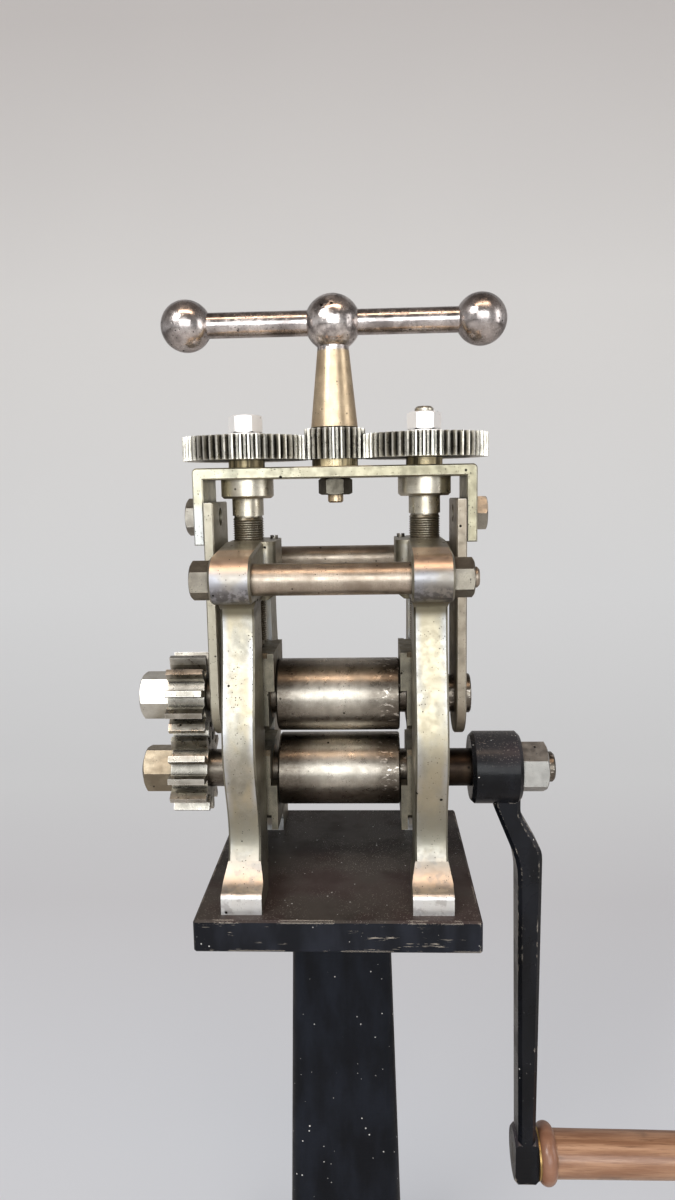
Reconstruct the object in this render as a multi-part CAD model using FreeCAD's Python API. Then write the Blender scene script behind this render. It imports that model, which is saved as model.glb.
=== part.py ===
import FreeCAD, Part
import math
import os

# Hand cranked rolling mill for jewellery, on a wooden pedestal.
# Millimetres, +Z up. The origin is the centre of the pedestal's underside.
# X runs along the rolls (crank at +X, roll gears at -X). Y points away from the side that is fed.
# Two side frames carry the lower roll. Two pressure screws, geared together by one T-handle,
# carry a bridge, and two lift straps hang the upper roll from that bridge.

# Pedestal: a foot board, a tapered post and the board that the frames stand on
foot_size = 190.0
foot_thick = 25.0
foot_hole_spacing = 160.0
foot_hole_radius = 4.5
post_length = 345.0
post_top_width = 64.0
post_bottom_width = 81.5
post_corner = 8.0
tenon_width = 36.0
tenon_depth = 13.0
tenon_clearance = 0.1
board_size = 171.0
board_thick = 20.0
board_edge = 1.2
lag_offset = 24.0
lag_radius = 3.0
lag_head_radius = 6.0
lag_head_depth = 4.0
lag_length = 60.0
lag_point = 8.0
lag_recess = 0.5

# Rolls: working length, size, gap at rest and the height of the lower one above the board
roll_length = 80.0
roll_radius = 24.0
rest_gap = 3.2
roll_edge = 1.0
lower_axis_height = 64.5
journal_radius = 12.5
seat_radius = 11.0
thread_radius = 10.0
end_chamfer = 1.3

# Clearances
running_clearance = 0.05
axial_clearance = 0.1
slide_clearance = 0.1

# Side frames
roll_end_gap = 0.4
flange_thick = 4.0
flange_to_frame = 3.0
frame_thick = 20.0
frame_height = 219.5
head_width = 24.0
head_low_half_depth = 51.0
head_height = 33.0
head_bevel = 2.0
lug_reach = 7.5
lug_half_depth = 23.0
lug_height = 41.0
lug_slope = 8.0
lug_corner = 7.0
lug_lap = 3.0
boss_radius = 14.0
boss_edge = 1.2
head_flat_half = 27.0
neck_round = 6.0
neck_lap = 3.0
tie_offset = 70.5
tie_drop = 18.7
leg_neck = 57.5
leg_belly = 70.0
leg_waist = 60.5
neck_height = 176.0
leg_belly_height = 90.0
leg_waist_height = 28.0
leg_shoulder_rise = 4.0
foot_reach = 78.5
foot_toe_height = 13.0
toe_round = 3.5
foot_width = 24.5
foot_block_height = 16.0
foot_blend_height = 26.0
foot_inner = 46.0
arch_height = 12.0
arch_corner = 3.0
shelf_thick = 12.0
window_half = 26.0
window_bottom = 38.0
window_corner = 3.0
frame_edge = 1.2

# Frame bolts, from under the board into the feet
frame_bolt_radius = 5.0
frame_bolt_depth = 24.0
frame_bolt_end_gap = 2.0
frame_bolt_offset = 54.0
frame_bolt_recess = 9.5
frame_bolt_recess_radius = 12.0
frame_bolt_flats = 17.0
frame_bolt_head = 6.5
washer_radius = 10.5
washer_thick = 2.0

# Tie rods
tie_radius = 9.3
small_thread_radius = 6.0
small_nut_flats = 20.0
tie_nut_thick = 11.5
right_rod_end = 3.0
left_rod_end = 0.2

# Roll bearings: iron chocks with bronze bushes
bush_wall = 3.0
lower_chock_rise = 19.5
lower_flange_drop = 33.5
lower_flange_rise = -3.5
upper_chock_drop = 17.7
upper_chock_rise = 32.6
upper_flange_rise = 8.0
chock_edge_gap = 0.5
flange_bore_gap = 1.5

# Pressure screws
screw_pitch = 1.5
thread_groove = 0.9
thread_crest = 0.25
screw_tip_radius = 8.0
screw_tip_length = 5.0
screw_tip_edge = 1.5
thread_relief = 1.0
shank_radius = 10.15
shank_length = 11.1
collar_radius = 17.0
collar_thick = 12.1
collar_edge = 1.6
screw_journal_radius = 9.0
gear_seat_radius = 8.0
screw_travel_space = 16.0

# Bridge and lift straps
bridge_plate = 7.2
bridge_half_depth = 22.5
arm_thick = 6.7
arm_drop = 41.1
bridge_edge = 0.8
bridge_corner = 3.0
strap_thick = 6.5
strap_gap = 8.3
strap_half_width = 26.0
strap_top_above_bolt = 9.5
strap_bolt_drop = 23.8
strap_bolt_flats = 21.0
strap_bolt_head = 8.2
strap_bolt_short = 2.5
right_strap_bolt_turn = 30.0
left_strap_bolt_turn = 0.0
cap_radius = 13.0
cap_thick = 4.5
cap_edge = 0.8
cap_spigot_radius = 5.0
cap_spigot_length = 9.0

# Screw gears and the pinion between them
pinion_teeth = 24
screw_gear_teeth = 52
pressure_angle = math.radians(20.0)
tooth_play = 0.3
screw_gear_face = 14.8
gear_hub_radius = 11.7
gear_hub_height = 4.7
pinion_face = 19.1
pinion_flange_radius = 14.8
top_washer_radius = 11.5
top_washer_thick = 2.5
top_nut_flats = 19.0
top_nut_thick = 11.4
left_stud_end = -0.5
right_stud_end = 3.4
screw_key_width = 5.0
screw_key_height = 5.0
screw_key_length = 13.0

# T-handle
column_base_radius = 15.0
column_top_radius = 10.0
column_edge = 1.0
column_height = 50.0
handle_ball_radius = 17.8
handle_axis_above_column = 16.0
bar_radius = 7.9
bar_half_length = 80.0
end_ball_radius = 16.2
end_ball_offset = 93.2
bar_spigot_radius = 5.0
bar_spigot_depth = 2.0
handle_nut_thick = 10.6
handle_thread_end = 5.1
handle_thread_radius = 5.0
pinion_pin_radius = 1.5

# Roll gears: coarse teeth, long enough to stay in mesh as the rolls open
roll_gear_teeth = 12
roll_gear_addendum = 4.6
roll_gear_root_depth = 5.2
tooth_tip_share = 0.3024
tooth_pitch_share = 0.3979
tooth_root_share = 0.3183
roll_gear_face = 24.0
roll_gear_start = 87.5
crank_nut_flats = 30.0
crank_nut_thick = 18.0
gear_nut_flats = 28.0
gear_nut_thick = 20.3
lower_gear_nut_turn = 34.0
upper_gear_nut_turn = 23.0
roll_key_width = 6.0
roll_key_height = 5.5
roll_key_margin = 1.5
lower_thread_end = 1.7
upper_thread_end = 0.0

# Crank
journal_end = 70.0
crank_spacer_radius = 12.5
crank_start = 87.0
crank_hub_radius = 24.0
crank_hub_length = 33.0
crank_hub_edge = 2.5
crank_throw = 288.0
crank_depth = 23.0
crank_edge = 2.5
arm_top_thick = 16.3
arm_bottom_thick = 11.8
arm_low_shift = 13.3
arm_taper = 1.7
lower_hub_shift = 0.7
shoulder_inset = 0.0
shoulder_start = 14.5
outer_bend_drop = 29.4
outer_elbow_drop = 56.5
inner_bend_drop = 22.6
inner_elbow_drop = 64.8
outer_bend_round = 14.0
outer_elbow_round = 19.0
inner_bend_round = 22.0
inner_elbow_round = 55.0
lower_hub_radius = 19.0
lower_hub_length = 16.5
lower_hub_edge = 2.0
crank_thread_end = 5.0

# Grip
spindle_radius = 6.0
spindle_root_radius = 7.0
spindle_head_radius = 9.0
spindle_head_thick = 4.0
spindle_head_depth = 1.0
spindle_slot_width = 1.6
spindle_slot_depth = 1.5
grip_washer_radius = 17.0
grip_washer_thick = 1.2
grip_length = 124.0
bead_radius = 20.2
bead_face_round = 3.0
bead_length = 10.5
bead_foot = 1.6
neck_length = 1.8
barrel_radius = 15.6
barrel_fall = 0.5
grip_end_radius = 14.7
grip_end_length = 6.0
grip_end_round = 3.5
grip_play = 0.2

# Oil hole plugs on the frame heads
plug_radius = 2.6
plug_head = 2.2
plug_shank_radius = 1.5
plug_shank_length = 8.0
plug_slot = 0.9
plug_slot_depth = 1.0
plug_inset = 15.0
plug_back = 13.0

# Levels and stations worked out from the sizes above
board_top = foot_thick + post_length + board_thick
lower_axis = board_top + lower_axis_height
upper_axis = lower_axis + 2.0 * roll_radius + rest_gap
frame_inner = roll_length / 2.0 + roll_end_gap + flange_thick + flange_to_frame
frame_outer = frame_inner + frame_thick
screw_x = frame_inner + frame_thick / 2.0
frame_top = board_top + frame_height
head_bottom = frame_top - head_height
head_inner = screw_x - head_width / 2.0
head_outer = screw_x + head_width / 2.0
lug_bottom = frame_top - lug_height
window_top = lug_bottom + lug_slope / 2.0
tie_axis = frame_top - tie_drop
collar_bottom = frame_top + screw_travel_space + shank_length
bridge_bottom = collar_bottom + collar_thick + axial_clearance
bridge_top = bridge_bottom + bridge_plate
hub_bottom = bridge_top + axial_clearance
gear_bottom = hub_bottom + gear_hub_height
gear_top = gear_bottom + screw_gear_face
pinion_top = gear_bottom + pinion_face
handle_axis = pinion_top + column_height + handle_axis_above_column
strap_inner = frame_outer + strap_gap
strap_outer = strap_inner + strap_thick
bridge_half_length = strap_outer + arm_thick
strap_bolt_axis = bridge_bottom - strap_bolt_drop
gear_module = 2.0 * screw_x / (pinion_teeth + screw_gear_teeth)
cap_start = strap_outer + axial_clearance
roll_gear_end = roll_gear_start + roll_gear_face
crank_end = crank_start + crank_hub_length
crank_axis_low = lower_axis - crank_throw
bush_radius = journal_radius + running_clearance + bush_wall
chock_inner = roll_length / 2.0 + roll_end_gap
chock_outer = frame_outer - chock_edge_gap
screw_tip = upper_axis + upper_chock_rise + axial_clearance


def point(x, y, z):
    return FreeCAD.Vector(x, y, z)


def box(x_low, x_high, y_low, y_high, z_low, z_high):
    return Part.makeBox(x_high - x_low, y_high - y_low, z_high - z_low, point(x_low, y_low, z_low))


def rod_x(radius, x_low, x_high, y, z):
    return Part.makeCylinder(radius, x_high - x_low, point(x_low, y, z), point(1, 0, 0))


def rod_z(radius, z_low, z_high, x, y):
    return Part.makeCylinder(radius, z_high - z_low, point(x, y, z_low), point(0, 0, 1))


def turned(edges):
    """Solid of revolution about Z from edges drawn in the XZ plane."""
    face = Part.Face(Part.Wire(Part.__sortEdges__(edges)))
    return face.revolve(point(0, 0, 0), point(0, 0, 1), 360)


def straight_edges(outline):
    """Edges through (radius, height) points, closed back to the first."""
    corners = [point(r, 0, h) for r, h in outline]
    corners.append(corners[0])
    return [Part.LineSegment(a, b).toShape() for a, b in zip(corners, corners[1:])]


def lathe(outline):
    return turned(straight_edges(outline))


def along_x(shape, x, y, z, reverse=False):
    """Turn a shape made about Z so that its top points along +X, or -X when reversed."""
    placed = shape.copy()
    placed.rotate(point(0, 0, 0), point(0, 1, 0), -90 if reverse else 90)
    placed.translate(point(x, y, z))
    return placed


def moved(shape, x, y, z):
    placed = shape.copy()
    placed.translate(point(x, y, z))
    return placed


def mirrored(shape):
    """The same shape on the other side of the mill."""
    return shape.mirror(point(0, 0, 0), point(1, 0, 0))


def hexagon(flats, height, turn=0.0, both_ends=False):
    """Hexagonal prism about Z, its first corner turn degrees from X, bevelled at the top or at both ends."""
    corner_radius = flats / math.sqrt(3.0)
    start = math.radians(turn)
    corners = []
    for index in range(7):
        angle = start + index * math.pi / 3.0
        corners.append(point(corner_radius * math.cos(angle), corner_radius * math.sin(angle), 0))
    prism = Part.Face(Part.makePolygon(corners)).extrude(point(0, 0, height))
    flat_radius = 0.48 * flats
    bevel = (corner_radius - flat_radius) * math.tan(math.radians(30.0))
    low_radius = flat_radius if both_ends else corner_radius
    low_bevel = bevel if both_ends else 0.0
    turning = [(0, 0), (low_radius, 0)]
    if both_ends:
        turning.append((corner_radius, low_bevel))
    turning += [(corner_radius, height - bevel), (flat_radius, height), (0, height)]
    return prism.common(lathe(turning))


def nut(flats, height, bore, turn=0.0, both_ends=False):
    body = hexagon(flats, height, turn, both_ends)
    return body.cut(rod_z(bore, -1, height + 1, 0, 0))


def arc(first, middle, last):
    return Part.Arc(first, middle, last).toShape()


def line(first, last):
    return Part.LineSegment(first, last).toShape()


def rounded_outline(corners):
    """Closed wire through corners, given as (place, radius), where a radius of 0 leaves the corner sharp."""
    stops = []
    edges = []
    for index, (place, radius) in enumerate(corners):
        to_last = (corners[index - 1][0] - place).normalize()
        to_next = (corners[(index + 1) % len(corners)][0] - place).normalize()
        half_angle = to_last.getAngle(to_next) / 2.0
        reach = radius / math.tan(half_angle)
        first = place + to_last * reach
        last = place + to_next * reach
        stops.append((first, last))
        if radius > 0:
            inward = (to_last + to_next).normalize()
            middle = place + inward * (radius / math.sin(half_angle) - radius)
            edges.append(arc(first, middle, last))
    for index, (first, last) in enumerate(stops):
        edges.append(line(last, stops[(index + 1) % len(stops)][0]))
    return Part.Wire(Part.__sortEdges__(edges))


def polar(radius, angle):
    return point(radius * math.cos(angle), radius * math.sin(angle), 0)


def involute(base_radius, radius):
    """Polar angle that an involute gains between its base circle and a radius."""
    angle = math.acos(min(1.0, base_radius / radius))
    return math.tan(angle) - angle


def toothed_disc(teeth, flank, root_radius, height, phase):
    """Disc with teeth. flank lists (radius, half angle) from the root to the tip of one side."""
    edges = []
    pitch = 2.0 * math.pi / teeth
    tip_radius, tip_half = flank[-1]
    for index in range(teeth):
        centre = phase + index * pitch
        rising = [polar(r, centre - half) for r, half in flank]
        falling = [polar(r, centre + half) for r, half in reversed(flank)]
        if flank[0][0] > root_radius + 1e-6:
            rising.insert(0, polar(root_radius, centre - flank[0][1]))
            falling.append(polar(root_radius, centre + flank[0][1]))
        edges += [line(a, b) for a, b in zip(rising, rising[1:])]
        edges.append(arc(rising[-1], polar(tip_radius, centre), falling[0]))
        edges += [line(a, b) for a, b in zip(falling, falling[1:])]
        next_start = polar(root_radius, centre + pitch - flank[0][1])
        edges.append(arc(falling[-1], polar(root_radius, centre + pitch / 2.0), next_start))
    return Part.Face(Part.Wire(edges)).extrude(point(0, 0, height))


def involute_disc(teeth, module, height, phase):
    """Spur gear blank with involute teeth, thinned by the play that the pair needs."""
    pitch_radius = module * teeth / 2.0
    base_radius = pitch_radius * math.cos(pressure_angle)
    root_radius = pitch_radius - 1.25 * module
    tip_radius = pitch_radius + module
    half_tooth = math.pi / (2.0 * teeth) - tooth_play / (4.0 * pitch_radius)
    reference = involute(base_radius, pitch_radius)
    start_radius = max(base_radius, root_radius)
    flank = []
    for radius in (start_radius, pitch_radius, tip_radius):
        flank.append((radius, half_tooth + reference - involute(base_radius, radius)))
    return toothed_disc(teeth, flank, root_radius, height, phase)


def roll_gear_disc(height, phase):
    """Coarse gear whose pitch circle is the roll's own circle."""
    tip_radius = roll_radius + roll_gear_addendum
    root_radius = roll_radius - roll_gear_root_depth
    tooth_pitch = 2.0 * math.pi * roll_radius / roll_gear_teeth
    flank = []
    for radius, share in (
        (root_radius, tooth_root_share),
        (roll_radius, tooth_pitch_share),
        (tip_radius, tooth_tip_share),
    ):
        flank.append((radius, share * tooth_pitch / (2.0 * radius)))
    return toothed_disc(roll_gear_teeth, flank, root_radius, height, phase)


def save(name, shape):
    if isinstance(shape, (list, tuple)):
        shape = Part.makeCompound(list(shape))
    shape.exportStep(os.path.join("parts", name + ".step"))


def rounded_square(width, corner, z):
    """Closed wire of a square with round corners, at height z."""
    half = width / 2.0
    inner = half - corner
    bulge = inner + corner * math.sqrt(0.5)
    edges = []
    for quarter in range(4):
        angle = quarter * math.pi / 2.0
        turn = FreeCAD.Rotation(point(0, 0, 1), math.degrees(angle))
        start = turn.multVec(point(half, -inner, 0))
        end = turn.multVec(point(half, inner, 0))
        middle = turn.multVec(point(bulge, bulge, 0))
        after = turn.multVec(point(inner, half, 0))
        edges.append(line(start, end))
        edges.append(arc(end, middle, after))
    wire = Part.Wire(edges)
    wire.translate(point(0, 0, z))
    return wire


# Pedestal


def foot_screw_places():
    return [(x, y) for x in (-lag_offset, lag_offset) for y in (-lag_offset, lag_offset)]


def lag_screw(x, y):
    """Countersunk wood screw, head down, up through the foot board into the post."""
    tip = lag_length - lag_point
    outline = [(0, lag_recess), (lag_head_radius, lag_recess)]
    outline += [(lag_radius, lag_recess + lag_head_depth), (lag_radius, tip), (0, lag_length)]
    return moved(lathe(outline), x, y, 0)


def make_pedestal():
    post_bottom = foot_thick
    post_top = foot_thick + post_length
    screws = [lag_screw(x, y) for x, y in foot_screw_places()]

    foot = box(-foot_size / 2, foot_size / 2, -foot_size / 2, foot_size / 2, 0, foot_thick)
    foot = foot.makeChamfer(board_edge, [edge for edge in foot.Edges])
    half = foot_hole_spacing / 2.0
    for x in (-half, half):
        for y in (-half, half):
            foot = foot.cut(rod_z(foot_hole_radius, -1, foot_thick + 1, x, y))
    for x, y in foot_screw_places():
        foot = foot.cut(rod_z(lag_head_radius, -1, lag_recess, x, y))
    foot = foot.cut(Part.makeCompound(screws))

    post = Part.makeLoft(
        [rounded_square(post_bottom_width, post_corner, post_bottom),
         rounded_square(post_top_width, post_corner, post_top)], True, True)
    tenon = tenon_width / 2.0
    post = post.fuse(box(-tenon, tenon, -tenon, tenon, post_top - 1, post_top + tenon_depth))
    post = post.cut(Part.makeCompound(screws))

    side = board_size / 2.0
    board = box(-side, side, -side, side, post_top, board_top)
    board = board.makeChamfer(board_edge, [edge for edge in board.Edges])
    mortise = tenon + tenon_clearance
    board = board.cut(box(-mortise, mortise, -mortise, mortise, post_top - 1,
                          post_top + tenon_depth + tenon_clearance))
    for x in (-screw_x, screw_x):
        for y in (-frame_bolt_offset, frame_bolt_offset):
            board = board.cut(rod_z(frame_bolt_radius, post_top - 1, board_top + 1, x, y))
            board = board.cut(rod_z(frame_bolt_recess_radius, post_top - 1, post_top + frame_bolt_recess, x, y))

    save("foot_board", foot)
    save("pedestal_post", post)
    save("base_board", board)
    save("foot_screws", screws)


def make_frame_bolts():
    bolts = []
    washers = []
    seat = board_top - board_thick + frame_bolt_recess
    shank_top = board_top + frame_bolt_depth - frame_bolt_end_gap
    for x in (-screw_x, screw_x):
        for y in (-frame_bolt_offset, frame_bolt_offset):
            washer_bottom = seat - washer_thick
            head = hexagon(frame_bolt_flats, frame_bolt_head)
            head.rotate(point(0, 0, 0), point(1, 0, 0), 180)
            head.translate(point(x, y, washer_bottom))
            shank = rod_z(frame_bolt_radius, washer_bottom, shank_top, x, y)
            bolts.append(head.fuse(shank))
            ring = rod_z(washer_radius, washer_bottom, seat, x, y)
            washers.append(ring.cut(rod_z(frame_bolt_radius, washer_bottom - 1, seat + 1, x, y)))
    save("frame_bolts", bolts)
    save("frame_bolt_washers", washers)


# Side frames


def frame_outline():
    """Side view of one frame as a closed wire in the YZ plane: neck, belly, waist and foot."""
    def at(y, height):
        return point(0, y, board_top + height)

    top = head_bottom - board_top + 1.0
    inner = foot_inner - arch_corner
    shoulder_height = (neck_height + leg_belly_height) / 2.0 + leg_shoulder_rise
    toe_bulge = toe_round * (1.0 - math.sqrt(0.5))
    edges = [line(at(-leg_neck, top), at(leg_neck, top)), line(at(-inner, arch_height), at(inner, arch_height))]
    for side in (1, -1):
        curve = Part.BSplineCurve()
        curve.interpolate(
            Points=[
                at(side * leg_neck, neck_height),
                at(side * (leg_neck + leg_belly) / 2.0, shoulder_height),
                at(side * leg_belly, leg_belly_height),
                at(side * leg_waist, leg_waist_height),
                at(side * (foot_reach - toe_round), foot_toe_height),
            ],
            InitialTangent=point(0, 0, -1),
            FinalTangent=point(0, side, -0.3),
        )
        edges += [
            line(at(side * leg_neck, top), at(side * leg_neck, neck_height)),
            curve.toShape(),
            arc(at(side * (foot_reach - toe_round), foot_toe_height),
                at(side * (foot_reach - toe_bulge), foot_toe_height - toe_bulge),
                at(side * foot_reach, foot_toe_height - toe_round)),
            line(at(side * foot_reach, foot_toe_height - toe_round), at(side * foot_reach, 0)),
            line(at(side * foot_reach, 0), at(side * foot_inner, 0)),
            line(at(side * foot_inner, 0), at(side * foot_inner, arch_height - arch_corner)),
            line(at(side * foot_inner, arch_height - arch_corner), at(side * inner, arch_height)),
        ]
    return Part.Wire(Part.__sortEdges__(edges))


def frame_slab(width):
    face = Part.Face(frame_outline())
    slab = face.extrude(point(width, 0, 0))
    slab.translate(point(screw_x - width / 2.0, 0, 0))
    return slab


def prism_along_y(corners, y_low, y_high):
    """Prism between two Y stations from (x, z) corners."""
    ring = [point(x, y_low, z) for x, z in corners]
    ring.append(ring[0])
    return Part.Face(Part.makePolygon(ring)).extrude(point(0, y_high - y_low, 0))


def softened(shape, size, kinds):
    """Break those edges of a slab's two faces that are curves of the given kinds."""
    chosen = []
    for edge in shape.Edges:
        xs = [vertex.Point.x for vertex in edge.Vertexes]
        if max(xs) - min(xs) < 1e-6 and isinstance(edge.Curve, kinds):
            chosen.append(edge)
    return shape.makeChamfer(size, chosen)


def head_shoulder():
    """Where the sloping top of the head touches the boss: (distance from the middle, drop from the top)."""
    run = tie_offset - head_flat_half
    slope = math.atan2(tie_drop, run) - math.asin(boss_radius / math.hypot(run, tie_drop))
    return tie_offset + boss_radius * math.sin(slope), tie_drop - boss_radius * math.cos(slope)


def head_side_slab():
    """Side view of the head: level over the screw, then sloping down on to the two bosses."""
    reach, drop = head_shoulder()
    half = [
        (head_flat_half, frame_top), (reach, frame_top - drop), (tie_offset, tie_axis),
        (head_low_half_depth, head_bottom), (leg_neck - neck_lap, head_bottom - head_bevel),
    ]
    ring = half + [(-y, z) for y, z in reversed(half)]
    ring.append(ring[0])
    face = Part.Face(Part.makePolygon([point(head_inner, y, z) for y, z in ring]))
    return face.extrude(point(head_width, 0, 0))


def boss_neck(side):
    """Hollow curve that leads one boss down into the leg and narrows to the leg's thickness."""
    reach = tie_offset - leg_neck - neck_round
    reach_full = boss_radius + neck_round
    drop = math.sqrt(reach_full ** 2 - reach ** 2)
    low_z = tie_axis - drop
    high_z = tie_axis - drop * boss_radius / reach_full
    toward = point(0, reach / reach_full - 1.0, drop / reach_full).normalize() * neck_round

    def at(y, z):
        return point(head_inner, side * y, z)

    edges = [
        arc(at(leg_neck, low_z), at(leg_neck + neck_round + toward.y, low_z + toward.z),
            at(tie_offset - reach * boss_radius / reach_full, high_z)),
        line(at(tie_offset - reach * boss_radius / reach_full, high_z), at(tie_offset, tie_axis)),
        line(at(tie_offset, tie_axis), at(leg_neck - neck_lap, tie_axis)),
        line(at(leg_neck - neck_lap, tie_axis), at(leg_neck - neck_lap, low_z)),
        line(at(leg_neck - neck_lap, low_z), at(leg_neck, low_z)),
    ]
    side_view = Part.Face(Part.Wire(Part.__sortEdges__(edges))).extrude(point(head_width, 0, 0))
    front_view = prism_along_y([
        (head_inner, tie_axis), (head_outer, tie_axis), (head_outer, high_z), (frame_outer, low_z),
        (frame_inner, low_z), (head_inner, high_z),
    ], -foot_reach, foot_reach)
    return side_view.common(front_view)


def make_right_frame():
    body = softened(frame_slab(frame_thick), frame_edge, Part.BSplineCurve)

    # Wider feet, blended into the leg
    half_foot = foot_width / 2.0
    half_leg = frame_thick / 2.0
    flare = [
        (screw_x - half_foot, board_top), (screw_x + half_foot, board_top),
        (screw_x + half_foot, board_top + foot_block_height),
        (screw_x + half_leg, board_top + foot_blend_height),
        (screw_x - half_leg, board_top + foot_blend_height),
        (screw_x - half_foot, board_top + foot_block_height),
    ]
    wide = frame_slab(foot_width)
    for y_low, y_high in ((-foot_reach - 1, -foot_inner + 2), (foot_inner - 2, foot_reach + 1)):
        body = body.fuse(wide.common(prism_along_y(flare, y_low, y_high)))

    # Head with the screw thread, and a bevel down to the leg
    head = [
        (head_inner, frame_top), (head_outer, frame_top), (head_outer, head_bottom),
        (frame_outer, head_bottom - head_bevel), (frame_inner, head_bottom - head_bevel),
        (head_inner, head_bottom),
    ]
    head_block = prism_along_y(head, -foot_reach, foot_reach).common(head_side_slab())
    shoulder_z = frame_top - head_shoulder()[1] - 0.01
    head_block = head_block.makeChamfer(frame_edge, [
        edge for edge in head_block.Edges
        if min(v.Point.z for v in edge.Vertexes) > shoulder_z
        and abs(edge.Vertexes[0].Point.x - edge.Vertexes[-1].Point.x) < 1e-6])
    body = body.fuse(head_block)

    # Lug on the inner side that gives the screw its full wall
    lug_inner = head_inner - lug_reach
    lug = [
        (lug_inner, frame_top), (head_inner + lug_lap, frame_top), (head_inner + lug_lap, lug_bottom),
        (lug_inner, lug_bottom + lug_slope),
    ]
    lug_block = prism_along_y(lug, -lug_half_depth, lug_half_depth)
    upright = [
        edge for edge in lug_block.Edges
        if abs(edge.Vertexes[0].Point.x - lug_inner) < 1e-6
        and abs(edge.Vertexes[-1].Point.x - lug_inner) < 1e-6
        and abs(edge.Vertexes[0].Point.y - edge.Vertexes[-1].Point.y) < 1e-6
    ]
    body = body.fuse(lug_block.makeFillet(lug_corner, upright))

    # Bosses for the tie rods
    boss = [
        (0, 0), (boss_radius - boss_edge, 0), (boss_radius, boss_edge),
        (boss_radius, head_width - boss_edge), (boss_radius - boss_edge, head_width), (0, head_width),
    ]
    for y in (-tie_offset, tie_offset):
        body = body.fuse(along_x(lathe(boss), head_inner, y, tie_axis))
    for side in (1, -1):
        body = body.fuse(boss_neck(side))

    # Window for the chocks, with a shelf under them that is set back from the rolls, then the bores
    window = box(lug_inner - 1, frame_outer + 5, -window_half, window_half,
                 board_top + window_bottom, window_top)
    window = window.makeFillet(window_corner, [
        edge for edge in window.Edges
        if abs(edge.Vertexes[0].Point.x - edge.Vertexes[-1].Point.x) > 1.0])
    body = body.cut(window)
    body = body.cut(box(frame_inner - 1, frame_outer - shelf_thick, -window_half, window_half,
                        board_top + arch_height - 1, board_top + window_bottom + window_corner))
    body = body.cut(rod_z(thread_radius + running_clearance, window_top - 5, frame_top + 1, screw_x, 0))
    for y in (-tie_offset, tie_offset):
        body = body.cut(rod_x(small_thread_radius, head_inner - 1, head_outer + 1, y, tie_axis))
    for y in (-frame_bolt_offset, frame_bolt_offset):
        body = body.cut(rod_z(frame_bolt_radius, board_top - 1, board_top + frame_bolt_depth, screw_x, y))
    body = body.cut(rod_z(plug_shank_radius, frame_top - plug_shank_length - 1, frame_top + 1,
                          screw_x - plug_inset, plug_back))
    return body.removeSplitter()


def make_oil_plugs():
    plugs = []
    for x in (-(screw_x - plug_inset), screw_x - plug_inset):
        shank = rod_z(plug_shank_radius, frame_top - plug_shank_length, frame_top + 0.5, x, plug_back)
        head = rod_z(plug_radius, frame_top, frame_top + plug_head, x, plug_back)
        slot = box(x - plug_slot / 2, x + plug_slot / 2, plug_back - plug_radius - 1,
                   plug_back + plug_radius + 1, frame_top + plug_head - plug_slot_depth, frame_top + plug_head + 1)
        plugs.append(head.cut(slot).fuse(shank))
    save("oil_hole_plugs", plugs)


def make_frames():
    right = make_right_frame()
    save("right_side_frame", right)
    save("left_side_frame", mirrored(right))
    make_oil_plugs()

    left_end = head_outer + tie_nut_thick + left_rod_end
    right_end = head_outer + tie_nut_thick + right_rod_end
    tip = small_thread_radius - end_chamfer
    outline = [
        (0, -left_end), (tip, -left_end), (small_thread_radius, end_chamfer - left_end),
        (small_thread_radius, -head_inner), (tie_radius, -head_inner), (tie_radius, head_inner),
        (small_thread_radius, head_inner), (small_thread_radius, right_end - end_chamfer),
        (tip, right_end), (0, right_end),
    ]
    tie_rod = lathe(outline)
    save("front_tie_rod", along_x(tie_rod, 0, -tie_offset, tie_axis))
    save("rear_tie_rod", along_x(tie_rod, 0, tie_offset, tie_axis))
    nuts = []
    for y in (-tie_offset, tie_offset):
        tie_nut = nut(small_nut_flats, tie_nut_thick, small_thread_radius)
        nuts.append(along_x(tie_nut, head_outer, y, tie_axis))
        nuts.append(along_x(tie_nut, -head_outer, y, tie_axis, reverse=True))
    save("tie_rod_nuts", nuts)


# Chocks and bushes


def chock(axis, body_low, body_high, flange_low, flange_high, bored_flange):
    """Right chock: a block that fills the frame's window, with a flange beside the roll."""
    half = window_half - slide_clearance
    block = box(chock_inner + flange_thick, chock_outer, -half, half, body_low, body_high)
    corners = [
        edge for edge in block.Edges
        if abs(edge.Vertexes[0].Point.x - edge.Vertexes[-1].Point.x) > 1.0
    ]
    block = block.makeChamfer(window_corner, corners)
    flange = box(chock_inner, chock_inner + flange_thick, -half, half, flange_low, flange_high)
    flange = flange.cut(rod_x(bored_flange, chock_inner - 1, chock_inner + flange_thick + 1, 0, axis))
    whole = block.fuse(flange)
    return whole.cut(rod_x(bush_radius, chock_inner + flange_thick, chock_outer + 1, 0, axis))


def bush(axis):
    """Right bronze bush, flush with the chock's block."""
    start = chock_inner + flange_thick
    ring = rod_x(bush_radius, start, chock_outer, 0, axis)
    return ring.cut(rod_x(journal_radius + running_clearance, start - 1, chock_outer + 1, 0, axis))


def make_chocks():
    wide_bore = journal_radius + flange_bore_gap
    lower = chock(lower_axis, board_top + window_bottom, lower_axis + lower_chock_rise,
                  lower_axis - lower_flange_drop, lower_axis + lower_flange_rise, wide_bore)
    upper = chock(upper_axis, upper_axis - upper_chock_drop, upper_axis + upper_chock_rise,
                  upper_axis + upper_flange_rise, upper_axis + upper_chock_rise, wide_bore)
    for name, axis, block in (("lower", lower_axis, lower), ("upper", upper_axis, upper)):
        save(name + "_right_chock", block)
        save(name + "_left_chock", mirrored(block))
        save(name + "_roll_bushes", [bush(axis), mirrored(bush(axis))])


# Rolls, their gears and the crank


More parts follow.
